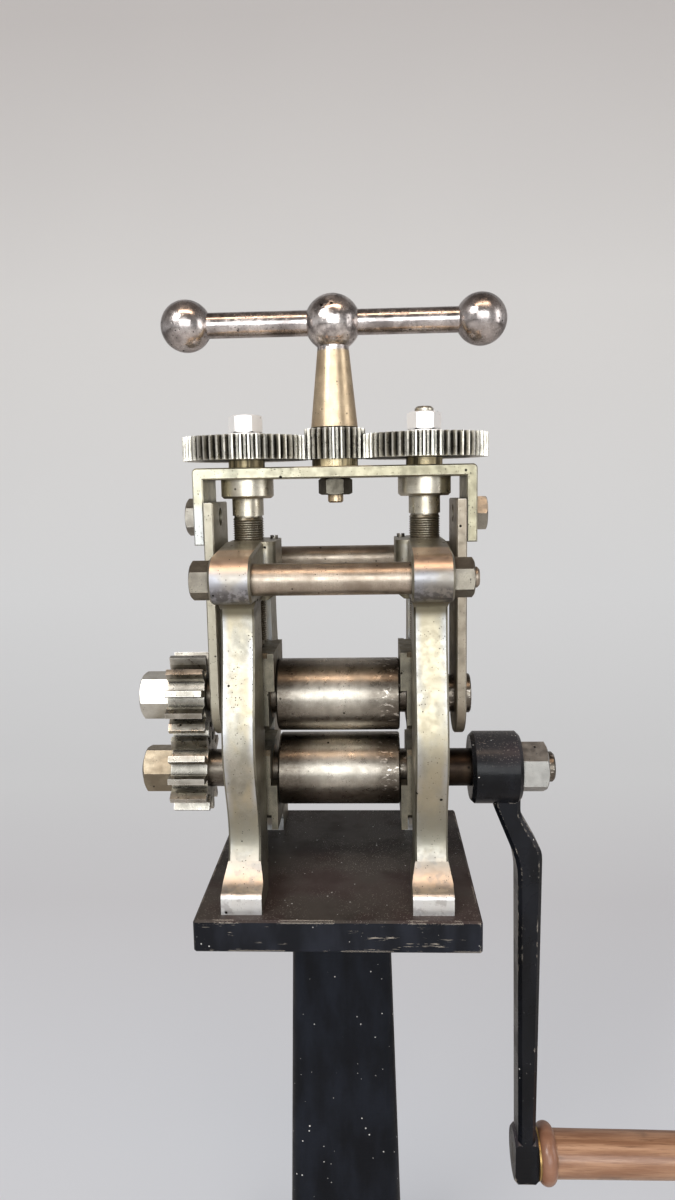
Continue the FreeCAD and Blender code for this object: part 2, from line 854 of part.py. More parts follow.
def roll_half(stages):
    """Outline of one end of a roll from the middle out: (radius, distance where it ends)."""
    half = roll_length / 2.0
    outline = [(roll_radius, half - roll_edge), (roll_radius - roll_edge, half)]
    for radius, end in stages:
        outline.append((radius, outline[-1][1]))
        outline.append((radius, end))
    radius, end = outline.pop()
    outline.append((radius, end - end_chamfer))
    outline.append((radius - end_chamfer, end))
    return outline


def roll(left_stages, right_stages, axis):
    right = roll_half(right_stages)
    left = [(radius, -distance) for radius, distance in roll_half(left_stages)]
    outline = [(0, left[-1][1])] + list(reversed(left)) + right + [(0, right[-1][1])]
    return along_x(lathe(outline), 0, 0, axis)


def roll_key(x_low, x_high, shaft_radius, axis):
    low = axis + shaft_radius - roll_key_height / 2.0
    half = roll_key_width / 2.0
    return box(x_low, x_high, -half, half, low, low + roll_key_height)


def roll_gear(axis, phase, key):
    blank = roll_gear_disc(roll_gear_face, phase)
    gear = along_x(blank, -roll_gear_end, 0, axis)
    gear = gear.cut(rod_x(thread_radius, -roll_gear_end - 1, -roll_gear_start + 1, 0, axis))
    return gear.cut(key)


def gear_nut(axis, turn):
    blank = nut(gear_nut_flats, gear_nut_thick, thread_radius, turn)
    return along_x(blank, -roll_gear_end, 0, axis, reverse=True)


def crank_side_view():
    """Closed outline of the arm in the XZ plane: square shoulder, S-bend and a tapering arm."""
    def at(x, drop):
        return point(x, -crank_depth / 2.0, lower_axis - drop)

    shoulder_right = crank_end - shoulder_inset
    shoulder_left = crank_start + shoulder_start
    low_right = crank_end + arm_low_shift
    low_left = low_right - arm_bottom_thick
    elbow_right = low_right + arm_taper
    elbow_left = elbow_right - arm_top_thick
    return rounded_outline([
        (at(shoulder_left, 0), 0),
        (at(shoulder_right, 0), 0),
        (at(shoulder_right, outer_bend_drop), outer_bend_round),
        (at(elbow_right, outer_elbow_drop), outer_elbow_round),
        (at(low_right, crank_throw), 0),
        (at(low_left, crank_throw), 0),
        (at(elbow_left, inner_elbow_drop), inner_elbow_round),
        (at(shoulder_left, inner_bend_drop), inner_bend_round),
    ])


def make_crank_arm(key):
    arm = Part.Face(crank_side_view()).extrude(point(0, crank_depth, 0))
    outer = [
        edge for edge in arm.Edges
        if abs(edge.Vertexes[0].Point.y - edge.Vertexes[-1].Point.y) < 1e-6
    ]
    arm = arm.makeChamfer(crank_edge, outer)
    edge = crank_hub_edge
    hub = [
        (0, 0), (crank_hub_radius - edge, 0), (crank_hub_radius, edge),
        (crank_hub_radius, crank_hub_length - edge), (crank_hub_radius - edge, crank_hub_length),
        (0, crank_hub_length),
    ]
    low_edge = lower_hub_edge
    low_hub = [
        (0, 0), (lower_hub_radius - low_edge, 0), (lower_hub_radius, low_edge),
        (lower_hub_radius, lower_hub_length - low_edge), (lower_hub_radius - low_edge, lower_hub_length),
        (0, lower_hub_length),
    ]
    whole = arm.fuse(along_x(lathe(hub), crank_start, 0, lower_axis))
    low_start = crank_end - lower_hub_shift
    front_cut = box(low_start - 1, low_start + lower_hub_length + 1, -lower_hub_radius - 1, -crank_depth / 2,
                    crank_axis_low - lower_hub_radius - 1, crank_axis_low + lower_hub_radius + 1)
    whole = whole.fuse(along_x(lathe(low_hub), low_start, 0, crank_axis_low).cut(front_cut))
    whole = whole.cut(rod_x(seat_radius, crank_start - 1, crank_end + 3, 0, lower_axis))
    whole = whole.cut(rod_x(spindle_root_radius, low_start - 1, low_start + lower_hub_length + 1, 0,
                            crank_axis_low))
    return whole.cut(key).removeSplitter()


def make_grip():
    """Spindle with its head, brass washer and the wooden grip that turns on it."""
    low_start = crank_end - lower_hub_shift
    low_end = low_start + lower_hub_length
    washer_end = low_end + grip_washer_thick
    grip_start = washer_end + grip_play
    grip_end = grip_start + grip_length
    head_end = grip_end - spindle_head_depth
    head_start = head_end - spindle_head_thick
    axis = crank_axis_low

    spindle = rod_x(spindle_root_radius, low_start, low_end, 0, axis)
    spindle = spindle.fuse(rod_x(spindle_radius, low_end, head_start, 0, axis))
    spindle = spindle.fuse(rod_x(spindle_head_radius, head_start, head_end, 0, axis))
    slot_half = spindle_slot_width / 2.0
    slot = box(head_end - spindle_slot_depth, head_end + 1, -spindle_head_radius - 1,
               spindle_head_radius + 1, axis - slot_half, axis + slot_half)
    save("grip_spindle", spindle.cut(slot))

    washer = rod_x(grip_washer_radius, low_end, washer_end, 0, axis)
    save("grip_washer", washer.cut(rod_x(spindle_radius, low_end - 1, washer_end + 1, 0, axis)))

    def at(radius, distance):
        return point(radius, 0, distance)

    bore = spindle_radius + running_clearance
    recess_radius = spindle_head_radius + grip_play
    recess = head_start - grip_start - grip_play
    neck = bead_length + neck_length
    end_start = grip_length - grip_end_length
    end_face = grip_end_radius - grip_end_round
    barrel = Part.BSplineCurve()
    barrel.interpolate([
        at(barrel_radius, neck), at(barrel_radius - 0.5 * barrel_fall, 0.4 * grip_length),
        at(barrel_radius - barrel_fall, 0.75 * grip_length), at(grip_end_radius, end_start)])
    edges = [
        line(at(bore, 0), at(bead_radius - bead_face_round, 0)),
        arc(at(bead_radius - bead_face_round, 0), at(bead_radius, 0.45 * bead_length),
            at(barrel_radius + bead_foot, bead_length)),
        arc(at(barrel_radius + bead_foot, bead_length), at(barrel_radius + 0.2 * bead_foot, bead_length + 0.5),
            at(barrel_radius, neck)),
        barrel.toShape(),
        arc(at(grip_end_radius, end_start), at(grip_end_radius - 0.4 * grip_end_round, grip_length - 2.0),
            at(end_face, grip_length)),
        line(at(end_face, grip_length), at(recess_radius, grip_length)),
        line(at(recess_radius, grip_length), at(recess_radius, recess)),
        line(at(recess_radius, recess), at(bore, recess)),
        line(at(bore, recess), at(bore, 0)),
    ]
    save("crank_grip", along_x(turned(edges), grip_start, 0, axis))


def make_lower_roll():
    left = [(journal_radius, roll_gear_start),
            (thread_radius, roll_gear_end + gear_nut_thick + lower_thread_end)]
    right = [(journal_radius, journal_end), (seat_radius, crank_end),
             (thread_radius, crank_end + crank_nut_thick + crank_thread_end)]
    gear_key = roll_key(-roll_gear_end + roll_key_margin, -roll_gear_start - roll_key_margin,
                        thread_radius, lower_axis)
    crank_key = roll_key(crank_start + roll_key_margin, crank_end - roll_key_margin,
                         seat_radius, lower_axis)
    body = roll(left, right, lower_axis)
    save("lower_roll", body.cut(Part.makeCompound([gear_key, crank_key])))
    save("lower_roll_gear", roll_gear(lower_axis, 0.0, gear_key))
    save("lower_gear_key", gear_key)
    save("lower_gear_nut", gear_nut(lower_axis, lower_gear_nut_turn))

    spacer = rod_x(crank_spacer_radius, journal_end, crank_start, 0, lower_axis)
    save("crank_spacer", spacer.cut(rod_x(seat_radius, journal_end - 1, crank_start + 1, 0, lower_axis)))
    save("crank_arm", make_crank_arm(crank_key))
    save("crank_key", crank_key)
    save("crank_nut", along_x(nut(crank_nut_flats, crank_nut_thick, thread_radius), crank_end, 0, lower_axis))
    make_grip()


def make_upper_roll():
    journal_reach = strap_outer + axial_clearance
    left = [(journal_radius, journal_reach), (seat_radius, roll_gear_start),
            (thread_radius, roll_gear_end + gear_nut_thick + upper_thread_end)]
    right = [(journal_radius, journal_reach)]
    gear_key = roll_key(-roll_gear_end + roll_key_margin, -roll_gear_start - roll_key_margin,
                        thread_radius, upper_axis)
    spigot_start = cap_start - cap_spigot_length
    body = roll(left, right, upper_axis).cut(gear_key)
    body = body.cut(rod_x(cap_spigot_radius, spigot_start, cap_start + 1, 0, upper_axis))
    save("upper_roll", body)
    half_pitch = math.pi / roll_gear_teeth
    save("upper_roll_gear", roll_gear(upper_axis, half_pitch, gear_key))
    save("upper_gear_key", gear_key)
    save("upper_gear_nut", gear_nut(upper_axis, upper_gear_nut_turn))

    cap = [
        (0, 0), (cap_radius, 0), (cap_radius, cap_thick - cap_edge), (cap_radius - cap_edge, cap_thick),
        (0, cap_thick),
    ]
    cap_disc = along_x(lathe(cap), cap_start, 0, upper_axis)
    save("upper_roll_cap", cap_disc.fuse(rod_x(cap_spigot_radius, spigot_start, cap_start + 1, 0, upper_axis)))


# Bridge and straps


def make_bridge():
    length = bridge_half_length
    depth = bridge_half_depth
    outline = [
        (-length, bridge_top, bridge_corner), (length, bridge_top, bridge_corner),
        (length, bridge_bottom - arm_drop, 0), (strap_outer, bridge_bottom - arm_drop, 0),
        (strap_outer, bridge_bottom, 0), (-strap_outer, bridge_bottom, 0),
        (-strap_outer, bridge_bottom - arm_drop, 0), (-length, bridge_bottom - arm_drop, 0),
    ]
    wire = rounded_outline([(point(x, -depth, z), radius) for x, z, radius in outline])
    body = Part.Face(wire).extrude(point(0, 2.0 * depth, 0))
    long_edges = [
        edge for edge in body.Edges
        if abs(edge.Vertexes[0].Point.y - edge.Vertexes[-1].Point.y) < 1e-6
    ]
    body = body.makeChamfer(bridge_edge, long_edges)
    for x in (-screw_x, screw_x):
        body = body.cut(rod_z(screw_journal_radius + running_clearance, bridge_bottom - 1, bridge_top + 1, x, 0))
    body = body.cut(rod_z(gear_seat_radius + running_clearance, bridge_bottom - 1, bridge_top + 1, 0, 0))
    body = body.cut(rod_x(small_thread_radius, -length - 1, length + 1, 0, strap_bolt_axis))
    save("bridge", body)


def make_right_strap():
    """Flat bar with a round eye at its lower end, on the upper roll's journal."""
    top = strap_bolt_axis + strap_top_above_bolt
    bar = box(strap_inner, strap_outer, -strap_half_width, strap_half_width, upper_axis, top)
    body = bar.fuse(rod_x(strap_half_width, strap_inner, strap_outer, 0, upper_axis)).removeSplitter()
    body = softened(body, bridge_edge, (Part.Line, Part.Circle))
    body = body.cut(rod_x(journal_radius + running_clearance, strap_inner - 1, strap_outer + 1, 0, upper_axis))
    return body.cut(rod_x(small_thread_radius, strap_inner - 1, strap_outer + 1, 0, strap_bolt_axis))


def make_straps():
    strap = make_right_strap()
    save("right_lift_strap", strap)
    save("left_lift_strap", mirrored(strap))

    shank = rod_x(small_thread_radius, strap_inner + strap_bolt_short, bridge_half_length + 1, 0,
                  strap_bolt_axis)
    bolts = []
    for turn in (right_strap_bolt_turn, left_strap_bolt_turn):
        head = hexagon(strap_bolt_flats, strap_bolt_head, turn)
        bolts.append(along_x(head, bridge_half_length, 0, strap_bolt_axis).fuse(shank))
    save("strap_bolts", [bolts[0], mirrored(bolts[1])])


# Pressure screws with their gears


def screw_thread(start, end):
    """Outline of a thread from low to high as a row of V-grooves, one for each turn."""
    outline = []
    turns = int((end - start) / screw_pitch)
    for index in range(turns):
        low = start + index * screw_pitch
        outline.append((thread_radius, low))
        outline.append((thread_radius, low + thread_crest))
        outline.append((thread_radius - thread_groove, low + (screw_pitch + thread_crest) / 2.0))
    outline.append((thread_radius, start + turns * screw_pitch))
    return outline


def make_screw(x, stud_end):
    thread_start = screw_tip + screw_tip_length
    thread_end_z = collar_bottom - shank_length
    nut_top = gear_top + top_washer_thick + top_nut_thick
    stud_top = nut_top + stud_end
    root_radius = thread_radius - thread_groove
    outline = [
        (0, screw_tip), (screw_tip_radius - screw_tip_edge, screw_tip),
        (screw_tip_radius, screw_tip + screw_tip_edge), (screw_tip_radius, thread_start - thread_relief / 2.0),
    ]
    outline += screw_thread(thread_start, thread_end_z - 1.5 * thread_relief)
    outline += [
        (root_radius, thread_end_z - thread_relief), (root_radius, thread_end_z),
        (shank_radius, thread_end_z), (shank_radius, collar_bottom),
        (collar_radius - collar_edge, collar_bottom), (collar_radius, collar_bottom + collar_edge),
        (collar_radius, collar_bottom + collar_thick), (screw_journal_radius, collar_bottom + collar_thick),
        (screw_journal_radius, hub_bottom), (gear_seat_radius, hub_bottom), (gear_seat_radius, gear_top),
        (small_thread_radius, gear_top), (small_thread_radius, stud_top - end_chamfer),
        (small_thread_radius - end_chamfer, stud_top), (0, stud_top),
    ]
    return moved(lathe(outline), x, 0, 0)


def screw_key(x):
    low = gear_bottom + (screw_gear_face - screw_key_length) / 2.0
    half = screw_key_width / 2.0
    y_low = gear_seat_radius - screw_key_height / 2.0
    return box(x - half, x + half, y_low, y_low + screw_key_height, low, low + screw_key_length)


def screw_gear(x, key):
    half_pitch = math.pi / screw_gear_teeth
    disc = involute_disc(screw_gear_teeth, gear_module, screw_gear_face, half_pitch)
    gear = moved(disc, x, 0, gear_bottom)
    gear = gear.fuse(rod_z(gear_hub_radius, hub_bottom, gear_bottom + 1, x, 0))
    gear = gear.cut(rod_z(gear_seat_radius, hub_bottom - 1, gear_top + 1, x, 0))
    return gear.cut(key).removeSplitter()


def make_screws():
    for name, x, stud_end in (("left", -screw_x, left_stud_end), ("right", screw_x, right_stud_end)):
        key = screw_key(x)
        save(name + "_pressure_screw", make_screw(x, stud_end).cut(key))
        save(name + "_screw_key", key)
        save(name + "_screw_gear", screw_gear(x, key))
        washer_top = gear_top + top_washer_thick
        washer = rod_z(top_washer_radius, gear_top, washer_top, x, 0)
        save(name + "_top_washer",
             washer.cut(rod_z(small_thread_radius, gear_top - 1, washer_top + 1, x, 0)))
        top_nut = nut(top_nut_flats, top_nut_thick, small_thread_radius, both_ends=True)
        save(name + "_top_nut", moved(top_nut, x, 0, washer_top))


# T-handle


def make_t_handle():
    spindle_bottom = bridge_bottom - axial_clearance
    nut_bottom = spindle_bottom - handle_nut_thick
    thread_bottom = nut_bottom - handle_thread_end
    column_top = pinion_top + column_height
    outline = [
        (0, thread_bottom), (handle_thread_radius - column_edge, thread_bottom),
        (handle_thread_radius, thread_bottom + column_edge), (handle_thread_radius, spindle_bottom),
        (gear_seat_radius, spindle_bottom), (gear_seat_radius, pinion_top),
        (column_base_radius - column_edge, pinion_top), (column_base_radius, pinion_top + column_edge),
        (column_top_radius, column_top), (column_top_radius, handle_axis), (0, handle_axis),
    ]
    ball = Part.makeSphere(handle_ball_radius, point(0, 0, handle_axis))
    pin = rod_x(pinion_pin_radius, -pinion_flange_radius, pinion_flange_radius, 0,
                (hub_bottom + gear_bottom) / 2.0)
    bore = rod_x(bar_radius, -handle_ball_radius - 1, handle_ball_radius + 1, 0, handle_axis)
    column = lathe(outline).fuse(ball).cut(bore).cut(pin)
    save("handle_column", column.removeSplitter())

    pinion = moved(involute_disc(pinion_teeth, gear_module, pinion_face, 0.0), 0, 0, gear_bottom)
    pinion = pinion.fuse(rod_z(pinion_flange_radius, hub_bottom, gear_bottom + 1, 0, 0))
    pinion = pinion.cut(rod_z(gear_seat_radius, hub_bottom - 1, pinion_top + 1, 0, 0)).cut(pin)
    save("handle_pinion", pinion.removeSplitter())
    save("pinion_pin", pin)

    handle_nut = nut(top_nut_flats, handle_nut_thick, handle_thread_radius, both_ends=True)
    save("handle_nut", moved(handle_nut, 0, 0, nut_bottom))

    spigot_end = end_ball_offset + bar_spigot_depth
    bar = rod_x(bar_radius, -bar_half_length, bar_half_length, 0, handle_axis)
    bar = bar.fuse(rod_x(bar_spigot_radius, -spigot_end, spigot_end, 0, handle_axis))
    save("handle_bar", bar)
    for name, x in (("left", -end_ball_offset), ("right", end_ball_offset)):
        end_ball = Part.makeSphere(end_ball_radius, point(x, 0, handle_axis))
        save(name + "_handle_ball", end_ball.cut(bar))


os.makedirs("parts", exist_ok=True)
make_pedestal()
make_frame_bolts()
make_frames()
make_chocks()
make_lower_roll()
make_upper_roll()
make_bridge()
make_straps()
make_screws()
make_t_handle()
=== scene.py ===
"""The finish, light and camera for a jewellers' rolling mill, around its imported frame.

All lengths are metres, and heights are above the floor.
"""
import math

import bpy
from mathutils import Matrix, Vector


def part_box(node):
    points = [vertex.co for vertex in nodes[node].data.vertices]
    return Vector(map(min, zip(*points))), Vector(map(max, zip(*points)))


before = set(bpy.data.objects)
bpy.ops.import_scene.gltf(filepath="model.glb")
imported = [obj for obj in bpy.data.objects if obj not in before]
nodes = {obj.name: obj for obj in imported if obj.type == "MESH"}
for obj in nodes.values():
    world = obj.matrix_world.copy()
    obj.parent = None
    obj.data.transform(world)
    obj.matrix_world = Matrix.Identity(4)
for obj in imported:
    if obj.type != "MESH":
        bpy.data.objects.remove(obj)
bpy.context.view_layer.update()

# The photograph's camera
PHOTO_HEIGHT = 1200
FOCAL_PIXELS = 830.0
SENSOR = 36.0
EYE = Vector((0.0237, -0.5428, 0.6426))
YAW = 0.0436
PITCH = 0.1346
ROLL = -0.0175

# Heights and widths that the finishes need, from the frame itself
GRIP_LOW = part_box("crank_grip")[0]
LEG_MIDDLE = sum(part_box("right_pressure_screw"), Vector()).x / 2.0

# Heights where one finish, painted light or painted shade fades into the next: where it has not begun, then
# where it is full
LOW_LEG_TOP = (0.458, 0.436)
LOW_LEG_BOTTOM = (0.407, 0.416)
FOOT_TOP = (0.430, 0.404)
FOOT_SLOPE = (0.4005, 0.4045)
NECK_TOP = (0.5795, 0.5760)
NECK_BOTTOM = (0.5640, 0.5700)
BOSS_BOTTOM = (0.574, 0.580)
BOSS_UNDERSIDE_SHADE = (0.5895, 0.5835)
BOSS_WARM_REFLECTION_TOP = (0.5945, 0.6000)
HEAD_BOTTOM = (0.606, 0.608)
BRIDGE_ARM_TOP = (0.636, 0.628)
THREAD_TOP = (0.6252, 0.6246)
SCREW_GEAR_HUB_TOP = 0.6607
HANDLE_BALL_BOTTOM = (0.7275, 0.7295)

# Fades along Y on the frame heads, and along X from the grip's start
BOSS_REACH = (0.048, 0.056)
HEAD_REACH = (0.062, 0.056)
BEAD_FADE = (0.0112, 0.0098)

# The backdrop as the camera sees it: colour by distance along the floor and up the wall
GLOW_SHARE = 0.6
BACKDROP_TONES = (
    (0.2, (0.69, 0.71, 0.76)), (0.68, (0.64, 0.64, 0.67)), (1.2, (0.75, 0.76, 0.775)),
    (2.6, (0.85, 0.86, 0.87)), (4.4, (0.85, 0.83, 0.81)), (5.5, (0.63, 0.59, 0.57)),
)


class Finish:
    """One procedural material: a shader, and short calls that add the nodes which feed it."""

    def __init__(self, name, colour, roughness, metal=1.0, **fixed):
        self.material = bpy.data.materials.new(name)
        self.material.use_nodes = True
        self.tree = self.material.node_tree
        self.tree.nodes.clear()
        self.shader = self.tree.nodes.new("ShaderNodeBsdfPrincipled")
        output = self.tree.nodes.new("ShaderNodeOutputMaterial")
        self.tree.links.new(self.shader.outputs[0], output.inputs[0])
        self.place = self.tree.nodes.new("ShaderNodeTexCoord").outputs["Object"]
        self.shader.inputs["Metallic"].default_value = metal
        self.feed(self.shader.inputs["Base Color"], colour)
        self.feed(self.shader.inputs["Roughness"], roughness)
        for socket, value in fixed.items():
            self.shader.inputs[socket.replace("_", " ")].default_value = value

    def feed(self, socket, value):
        """Gives a socket a number, a colour or another node's output."""
        if isinstance(value, bpy.types.NodeSocket):
            self.tree.links.new(value, socket)
        elif socket.type == "RGBA":
            socket.default_value = (*value, 1.0)
        else:
            socket.default_value = value

    def colour(self, value):
        self.feed(self.shader.inputs["Base Color"], value)

    def roughness(self, value):
        self.feed(self.shader.inputs["Roughness"], value)

    def maths(self, operation, first, second=0.0):
        node = self.tree.nodes.new("ShaderNodeMath")
        node.operation = operation
        self.feed(node.inputs[0], first)
        self.feed(node.inputs[1], second)
        return node.outputs[0]

    def times(self, first, second):
        return self.maths("MULTIPLY", first, second)

    def plus(self, first, second):
        return self.maths("ADD", first, second)

    def most(self, first, second):
        return self.maths("MAXIMUM", first, second)

    def between(self, value, low, high, to_low=0.0, to_high=1.0):
        """A smooth step of value from low to high, given out from to_low to to_high."""
        node = self.tree.nodes.new("ShaderNodeMapRange")
        node.interpolation_type = "SMOOTHSTEP"
        for socket, number in zip(node.inputs, (value, low, high, to_low, to_high)):
            self.feed(socket, number)
        return node.outputs[0]

    def mix(self, amount, first, second):
        node = self.tree.nodes.new("ShaderNodeMix")
        node.data_type = "RGBA"
        self.feed(node.inputs["Factor"], amount)
        self.feed(node.inputs[6], first)
        self.feed(node.inputs[7], second)
        return node.outputs[2]

    def stretched(self, stretch):
        node = self.tree.nodes.new("ShaderNodeMapping")
        node.inputs["Scale"].default_value = stretch
        self.feed(node.inputs["Vector"], self.place)
        return node.outputs[0]

    def grain(self, scale, stretch=(1.0, 1.0, 1.0), detail=4.0, rough=0.55):
        """Cloudy noise from 0 to 1, with scale blobs in a metre."""
        node = self.tree.nodes.new("ShaderNodeTexNoise")
        node.inputs["Scale"].default_value = scale
        node.inputs["Detail"].default_value = detail
        node.inputs["Roughness"].default_value = rough
        self.feed(node.inputs["Vector"], self.stretched(stretch))
        return node.outputs["Fac"]

    def specks(self, scale, share, size=0.35):
        """Small separate dots, 1 inside. Scale is cells in a metre and share the part of cells with a dot."""
        node = self.tree.nodes.new("ShaderNodeTexVoronoi")
        node.inputs["Scale"].default_value = scale
        self.feed(node.inputs["Vector"], self.place)
        split = self.tree.nodes.new("ShaderNodeSeparateColor")
        self.tree.links.new(node.outputs["Color"], split.inputs[0])
        chosen = self.maths("LESS_THAN", split.outputs[0], share)
        reach = self.between(split.outputs[1], 0.0, 1.0, size * 0.35, size)
        inside = self.maths("SUBTRACT", reach, node.outputs["Distance"])
        return self.times(chosen, self.between(inside, 0.0, size * 0.3))

    def coordinate(self, axis):
        node = self.tree.nodes.new("ShaderNodeSeparateXYZ")
        self.feed(node.inputs[0], self.place)
        return node.outputs["XYZ".index(axis)]

    def facing(self, axis):
        """The surface's own direction along one axis, from -1 to 1."""
        node = self.tree.nodes.new("ShaderNodeSeparateXYZ")
        self.tree.links.new(self.tree.nodes.new("ShaderNodeNewGeometry").outputs["Normal"], node.inputs[0])
        return node.outputs["XYZ".index(axis)]

    def edges(self, radius, low=0.01, high=0.16):
        """1 on corners and edges, out to about radius from them, and 0 on flat stretches."""
        bevel = self.tree.nodes.new("ShaderNodeBevel")
        bevel.samples = 6
        bevel.inputs["Radius"].default_value = radius
        dot = self.tree.nodes.new("ShaderNodeVectorMath")
        dot.operation = "DOT_PRODUCT"
        self.tree.links.new(bevel.outputs[0], dot.inputs[0])
        self.tree.links.new(self.tree.nodes.new("ShaderNodeNewGeometry").outputs["Normal"], dot.inputs[1])
        return self.between(self.maths("SUBTRACT", 1.0, dot.outputs["Value"]), low, high)

    def hollows(self, distance, low=0.35, high=0.85):
        """1 deep in corners and gaps narrower than about distance, and 0 in the open."""
        node = self.tree.nodes.new("ShaderNodeAmbientOcclusion")
        node.samples = 6
        node.inputs["Distance"].default_value = distance
        return self.between(node.outputs["AO"], low, high, 1.0, 0.0)

    def relief(self, height, depth):
        """Bump of so many metres, added over any bump that is there."""
        node = self.tree.nodes.new("ShaderNodeBump")
        node.inputs["Distance"].default_value = depth
        self.feed(node.inputs["Height"], height)
        last = self.shader.inputs["Normal"]
        if last.is_linked:
            self.tree.links.new(last.links[0].from_socket, node.inputs["Normal"])
        self.tree.links.new(node.outputs[0], last)


PIT_COLOUR = (0.030, 0.026, 0.022)
# Colour of the painted shade in corners and gaps
HOLLOW_SHADE_COLOUR = (0.020, 0.017, 0.013)


def old_metal(name, light, dark, smooth, dull, pit_share=0.35, pit_scale=900.0, grime=0.004, shade_strength=0.85,
              worn=None, metal=1.0):
    """Aged bare or plated metal: two mottled tones, small black pits, painted shade in corners and gaps, and
    brighter edges.
    """
    finish = Finish(name, light, smooth, metal=metal)
    clouds = finish.between(finish.grain(70.0, detail=6.0), 0.35, 0.68)
    fine = finish.grain(1400.0, detail=3.0)
    tone = finish.mix(clouds, light, dark)
    tone = finish.mix(finish.between(fine, 0.30, 0.75, 0.45, 0.0), tone, dark)
    edge = finish.edges(0.0012)
    tone = finish.mix(finish.times(edge, 0.55), tone, worn or light)
    patch = finish.between(finish.grain(160.0), 0.42, 0.66)
    pits = finish.times(finish.specks(pit_scale, pit_share), patch)
    strays = finish.specks(pit_scale * 0.3, 0.07, 0.3)
    pits = finish.most(pits, strays)
    tone = finish.mix(pits, tone, PIT_COLOUR)
    # Painted shade: corners and gaps darkened by an occlusion mask, which also makes them rougher
    hollow_shade = finish.times(finish.hollows(grime), shade_strength)
    tone = finish.mix(hollow_shade, tone, HOLLOW_SHADE_COLOUR)
    finish.colour(tone)
    level = finish.between(finish.grain(220.0, detail=5.0), 0.3, 0.7, smooth, dull)
    finish.roughness(finish.most(level, finish.most(finish.times(pits, 0.75), finish.times(hollow_shade, 0.7))))
    finish.relief(pits, -0.00008)
    finish.relief(fine, 0.000012)
    finish.tone = tone
    finish.pits = pits
    return finish


def frame_plating():
    """Plated castings: pale grey gold legs, with painted shade low down, on the side faces, on the right
    frame, on the lower bosses and under them, painted light on the feet and a painted warm reflection on the
    boss tops.
    """
    finish = old_metal("frame_plating", (0.55, 0.52, 0.44), (0.35, 0.33, 0.27), 0.34, 0.50,
                       worn=(0.70, 0.68, 0.62))
    height = finish.coordinate("Z")
    outward = finish.between(finish.maths("ABSOLUTE", finish.facing("X")), 0.6, 0.2)
    from_middle = finish.plus(finish.maths("ABSOLUTE", finish.coordinate("X")), -LEG_MIDDLE)
    rim = finish.between(finish.maths("ABSOLUTE", from_middle), 0.0045, 0.0092)
    worn_stretch = finish.between(finish.grain(60.0, (1.0, 1.0, 0.5)), 0.35, 0.6)
    rim = finish.times(finish.times(rim, outward), worn_stretch)
    gold = finish.times(outward, finish.between(finish.grain(48.0, (1.0, 1.0, 0.6)), 0.40, 0.62, 0.0, 0.7))
    finish.tone = finish.mix(gold, finish.tone, (0.60, 0.52, 0.35))
    finish.tone = finish.mix(finish.times(rim, 0.8), finish.tone, (0.58, 0.60, 0.64))
    # Painted shade on the faces turned sideways, on both sides of each frame
    side_face_shade = finish.times(finish.maths("SUBTRACT", 1.0, outward), 0.55)
    finish.tone = finish.mix(side_face_shade, finish.tone, (0.24, 0.22, 0.16))
    # Painted shade: the right frame is darker than the left
    right_frame_shade = finish.between(finish.coordinate("X"), -0.02, 0.02, 0.0, 0.35)
    finish.tone = finish.mix(right_frame_shade, finish.tone, (0.33, 0.31, 0.25))
    # Painted shade on the lower legs
    low_leg_shade = finish.times(finish.between(height, *LOW_LEG_TOP), finish.between(height, *LOW_LEG_BOTTOM))
    tone = finish.mix(finish.times(low_leg_shade, 0.8), finish.tone, (0.27, 0.26, 0.21))
    # Painted light on the fronts of the feet, broken up in patches
    foot_light = finish.times(finish.between(height, *FOOT_TOP), outward)
    bright = finish.mix(finish.between(height, *FOOT_SLOPE), (0.86, 0.86, 0.85), (0.74, 0.66, 0.57))
    foot_light_patches = finish.between(finish.grain(130.0, detail=5.0), 0.50, 0.62, 0.0, 0.7)
    bright = finish.mix(foot_light_patches, bright, (0.50, 0.48, 0.47))
    tone = finish.mix(finish.times(foot_light, 0.85), tone, bright)
    reach = finish.maths("ABSOLUTE", finish.coordinate("Y"))
    boss = finish.times(finish.between(height, *BOSS_BOTTOM), outward)
    boss = finish.times(boss, finish.between(reach, *BOSS_REACH))
    head = finish.times(finish.between(height, *HEAD_BOTTOM), finish.between(reach, *HEAD_REACH))
    tone = finish.mix(finish.times(head, 0.7), tone, (0.30, 0.27, 0.20))
    mottle = finish.between(finish.grain(45.0), 0.40, 0.60)
    neutral = finish.mix(mottle, (0.38, 0.38, 0.41), (0.43, 0.40, 0.36))
    # Painted shade on the right boss
    neutral = finish.mix(right_frame_shade, neutral, (0.10, 0.10, 0.10))
    # Painted warm reflection on the tops of the bosses
    band = finish.mix(finish.between(height, *BOSS_WARM_REFLECTION_TOP), neutral, (0.82, 0.63, 0.48))
    # Painted shade on the lower half of each boss, broken up by noise
    boss_underside_shade = finish.between(finish.grain(330.0), 0.38, 0.56)
    boss_underside_shade = finish.times(finish.between(height, *BOSS_UNDERSIDE_SHADE), boss_underside_shade)
    band = finish.mix(finish.times(boss_underside_shade, 0.85), band, (0.12, 0.115, 0.12))
    tone = finish.mix(finish.times(boss, 0.9), tone, band)
    # Painted shade under the bosses, where the leg's neck turns down
    neck_shade = finish.times(finish.between(height, *NECK_TOP), finish.between(height, *NECK_BOTTOM))
    tone = finish.mix(finish.times(neck_shade, 0.93), tone, (0.10, 0.085, 0.055))
    finish.colour(finish.mix(finish.pits, tone, PIT_COLOUR))
    return finish.material


